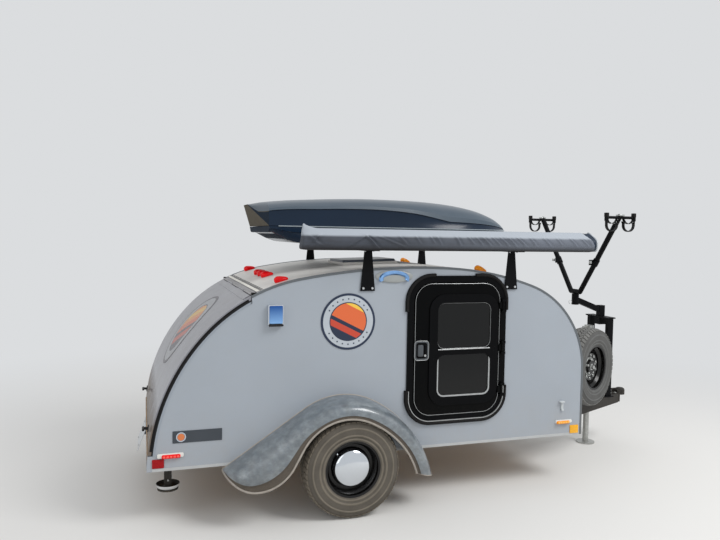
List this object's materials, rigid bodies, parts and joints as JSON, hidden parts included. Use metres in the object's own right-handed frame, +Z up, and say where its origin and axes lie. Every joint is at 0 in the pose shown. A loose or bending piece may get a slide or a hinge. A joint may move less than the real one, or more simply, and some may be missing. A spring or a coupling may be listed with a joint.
{
  "type": "teardrop camping trailer",
  "caption": "Two-berth teardrop trailer with a rear hatch, side doors, roof cargo box, rolled awning, spare wheel and tongue bike rack, parked on its jack.",
  "frame": {"origin": "centre of the tow ball in the coupler", "axes": "+X forward, +Y to the trailer's left, +Z up"},
  "size_m": [4.0004, 1.948, 1.9957],
  "materials": {
    "wall_paint": "satin silver-grey enamel on the aluminium side skins",
    "roof_paint": "light grey enamel on the roof skin",
    "hatch_paint": "glossy grey enamel on the hatch",
    "fender_paint": "dusty grey powder coat",
    "frame_black": "black enamel on welded steel",
    "rack_black": "black powder coat on steel plate",
    "door_black": "gloss black door skin",
    "trim_alu": "clear anodised aluminium moulding",
    "chrome": "bright chrome plate",
    "tyre": "dusty tyre rubber",
    "rim_black": "black enamelled steel wheel",
    "seal": "black rubber",
    "ply": "clear-finished birch plywood",
    "bedding": "woven mattress cover",
    "glass": "dark tinted glass",
    "box_shell": "dark blue-grey gloss plastic",
    "awning_vinyl": "grey coated cloth",
    "vent_white": "weathered white plastic",
    "red_lens": "red lamp lens",
    "amber_lens": "amber lamp lens",
    "badge": null,
    "plate_dark": "plain dark plate",
    "galvanised": "zinc-plated steel"
  },
  "bodies": {
    "trailer": {"chassis_frame": "frame_black", "tongue": "frame_black", "coupler": "frame_black", "axle": "frame_black", "floor": "ply", "roof_shell": "roof_paint", "bulkhead": "ply", "galley_cabinet": "ply", "mattress": "bedding", "edge_trims": "trim_alu", "hatch_seals": "seal", "hatch_hinge": "trim_alu", "roof_rack": "rack_black", "fenders": "fender_paint", "door_frames": "door_black", "stabiliser_tubes": "frame_black", "box_base": "box_shell", "awning_bag": "awning_vinyl", "vent_base": "vent_white", "spare_tyre": "tyre", "spare_wheel": "rim_black", "spare_carrier": "frame_black", "rack_tower": "rack_black", "rack_arm": "rack_black", "jack_tube": "galvanised", "red_lamps": "red_lens", "amber_lamps": "amber_lens", "side_lights": "chrome", "name_plates": "plate_dark", "side_badges": "badge", "licence_plate": "plate_dark", "side_wall_right": "wall_paint", "side_wall_left": "wall_paint"},
    "hatch": {"hatch_panel": "hatch_paint", "hatch_leaf": "trim_alu"},
    "cargo_lid": {"box_lid": "box_shell"},
    "roof_vent": {"vent_lid": "vent_white"},
    "mast": {"rack_mast": "rack_black"},
    "jack": {"jack_leg": "galvanised"},
    "right_wheel": {"tyre_right": "tyre", "wheel_right": "rim_black", "wheel_cap_right": "chrome"},
    "right_door": {"door_right": "door_black", "door_window_right": "door_black", "door_glass_right": "glass"},
    "right_leg": {"stabiliser_leg_right": "galvanised"},
    "left_wheel": {"tyre_left": "tyre", "wheel_left": "rim_black", "wheel_cap_left": "chrome"},
    "left_door": {"door_left": "door_black", "door_window_left": "door_black", "door_glass_left": "glass"},
    "left_leg": {"stabiliser_leg_left": "galvanised"}
  },
  "joints": [
    {"name": "right_wheel_spin", "type": "hinge", "parent": "trailer", "child": "right_wheel", "pos_m": [-2.705, -0.87, -0.107], "axis": [0, 1, 0], "continuous": true},
    {"name": "right_door_swing", "type": "hinge", "parent": "trailer", "child": "right_door", "pos_m": [-1.616, -0.79, 0.578], "axis": [0, 0, 1], "range_deg": [0, 175]},
    {"name": "right_leg_drop", "type": "slide", "parent": "trailer", "child": "right_leg", "axis": [0, 0, -1], "range_m": [0, 0.17]},
    {"name": "left_wheel_spin", "type": "hinge", "parent": "trailer", "child": "left_wheel", "pos_m": [-2.705, 0.87, -0.107], "axis": [0, 1, 0], "continuous": true},
    {"name": "left_door_swing", "type": "hinge", "parent": "trailer", "child": "left_door", "pos_m": [-1.616, 0.79, 0.578], "axis": [0, 0, -1], "range_deg": [0, 175]},
    {"name": "left_leg_drop", "type": "slide", "parent": "trailer", "child": "left_leg", "axis": [0, 0, -1], "range_m": [0, 0.17]},
    {"name": "hatch_lift", "type": "hinge", "parent": "trailer", "child": "hatch", "pos_m": [-3.301, 0, 0.95249], "axis": [0, 1, 0], "range_deg": [0, 85]},
    {"name": "cargo_lid_lift", "type": "hinge", "parent": "trailer", "child": "cargo_lid", "pos_m": [-2.245, 0.429, 1.372], "axis": [-1, 0, 0], "range_deg": [0, 45]},
    {"name": "vent_lift", "type": "hinge", "parent": "trailer", "child": "roof_vent", "pos_m": [-2.15243, 0, 1.13415], "axis": [0, 1, 0], "range_deg": [0, 8]},
    {"name": "mast_swivel", "type": "hinge", "parent": "trailer", "child": "mast", "pos_m": [-0.48, 0, 0.816], "axis": [0, 0, 1], "range_deg": [-90, 90]},
    {"name": "jack_slide", "type": "slide", "parent": "trailer", "child": "jack", "axis": [0, 0, 1], "range_m": [0, 0.25]}
  ]
}
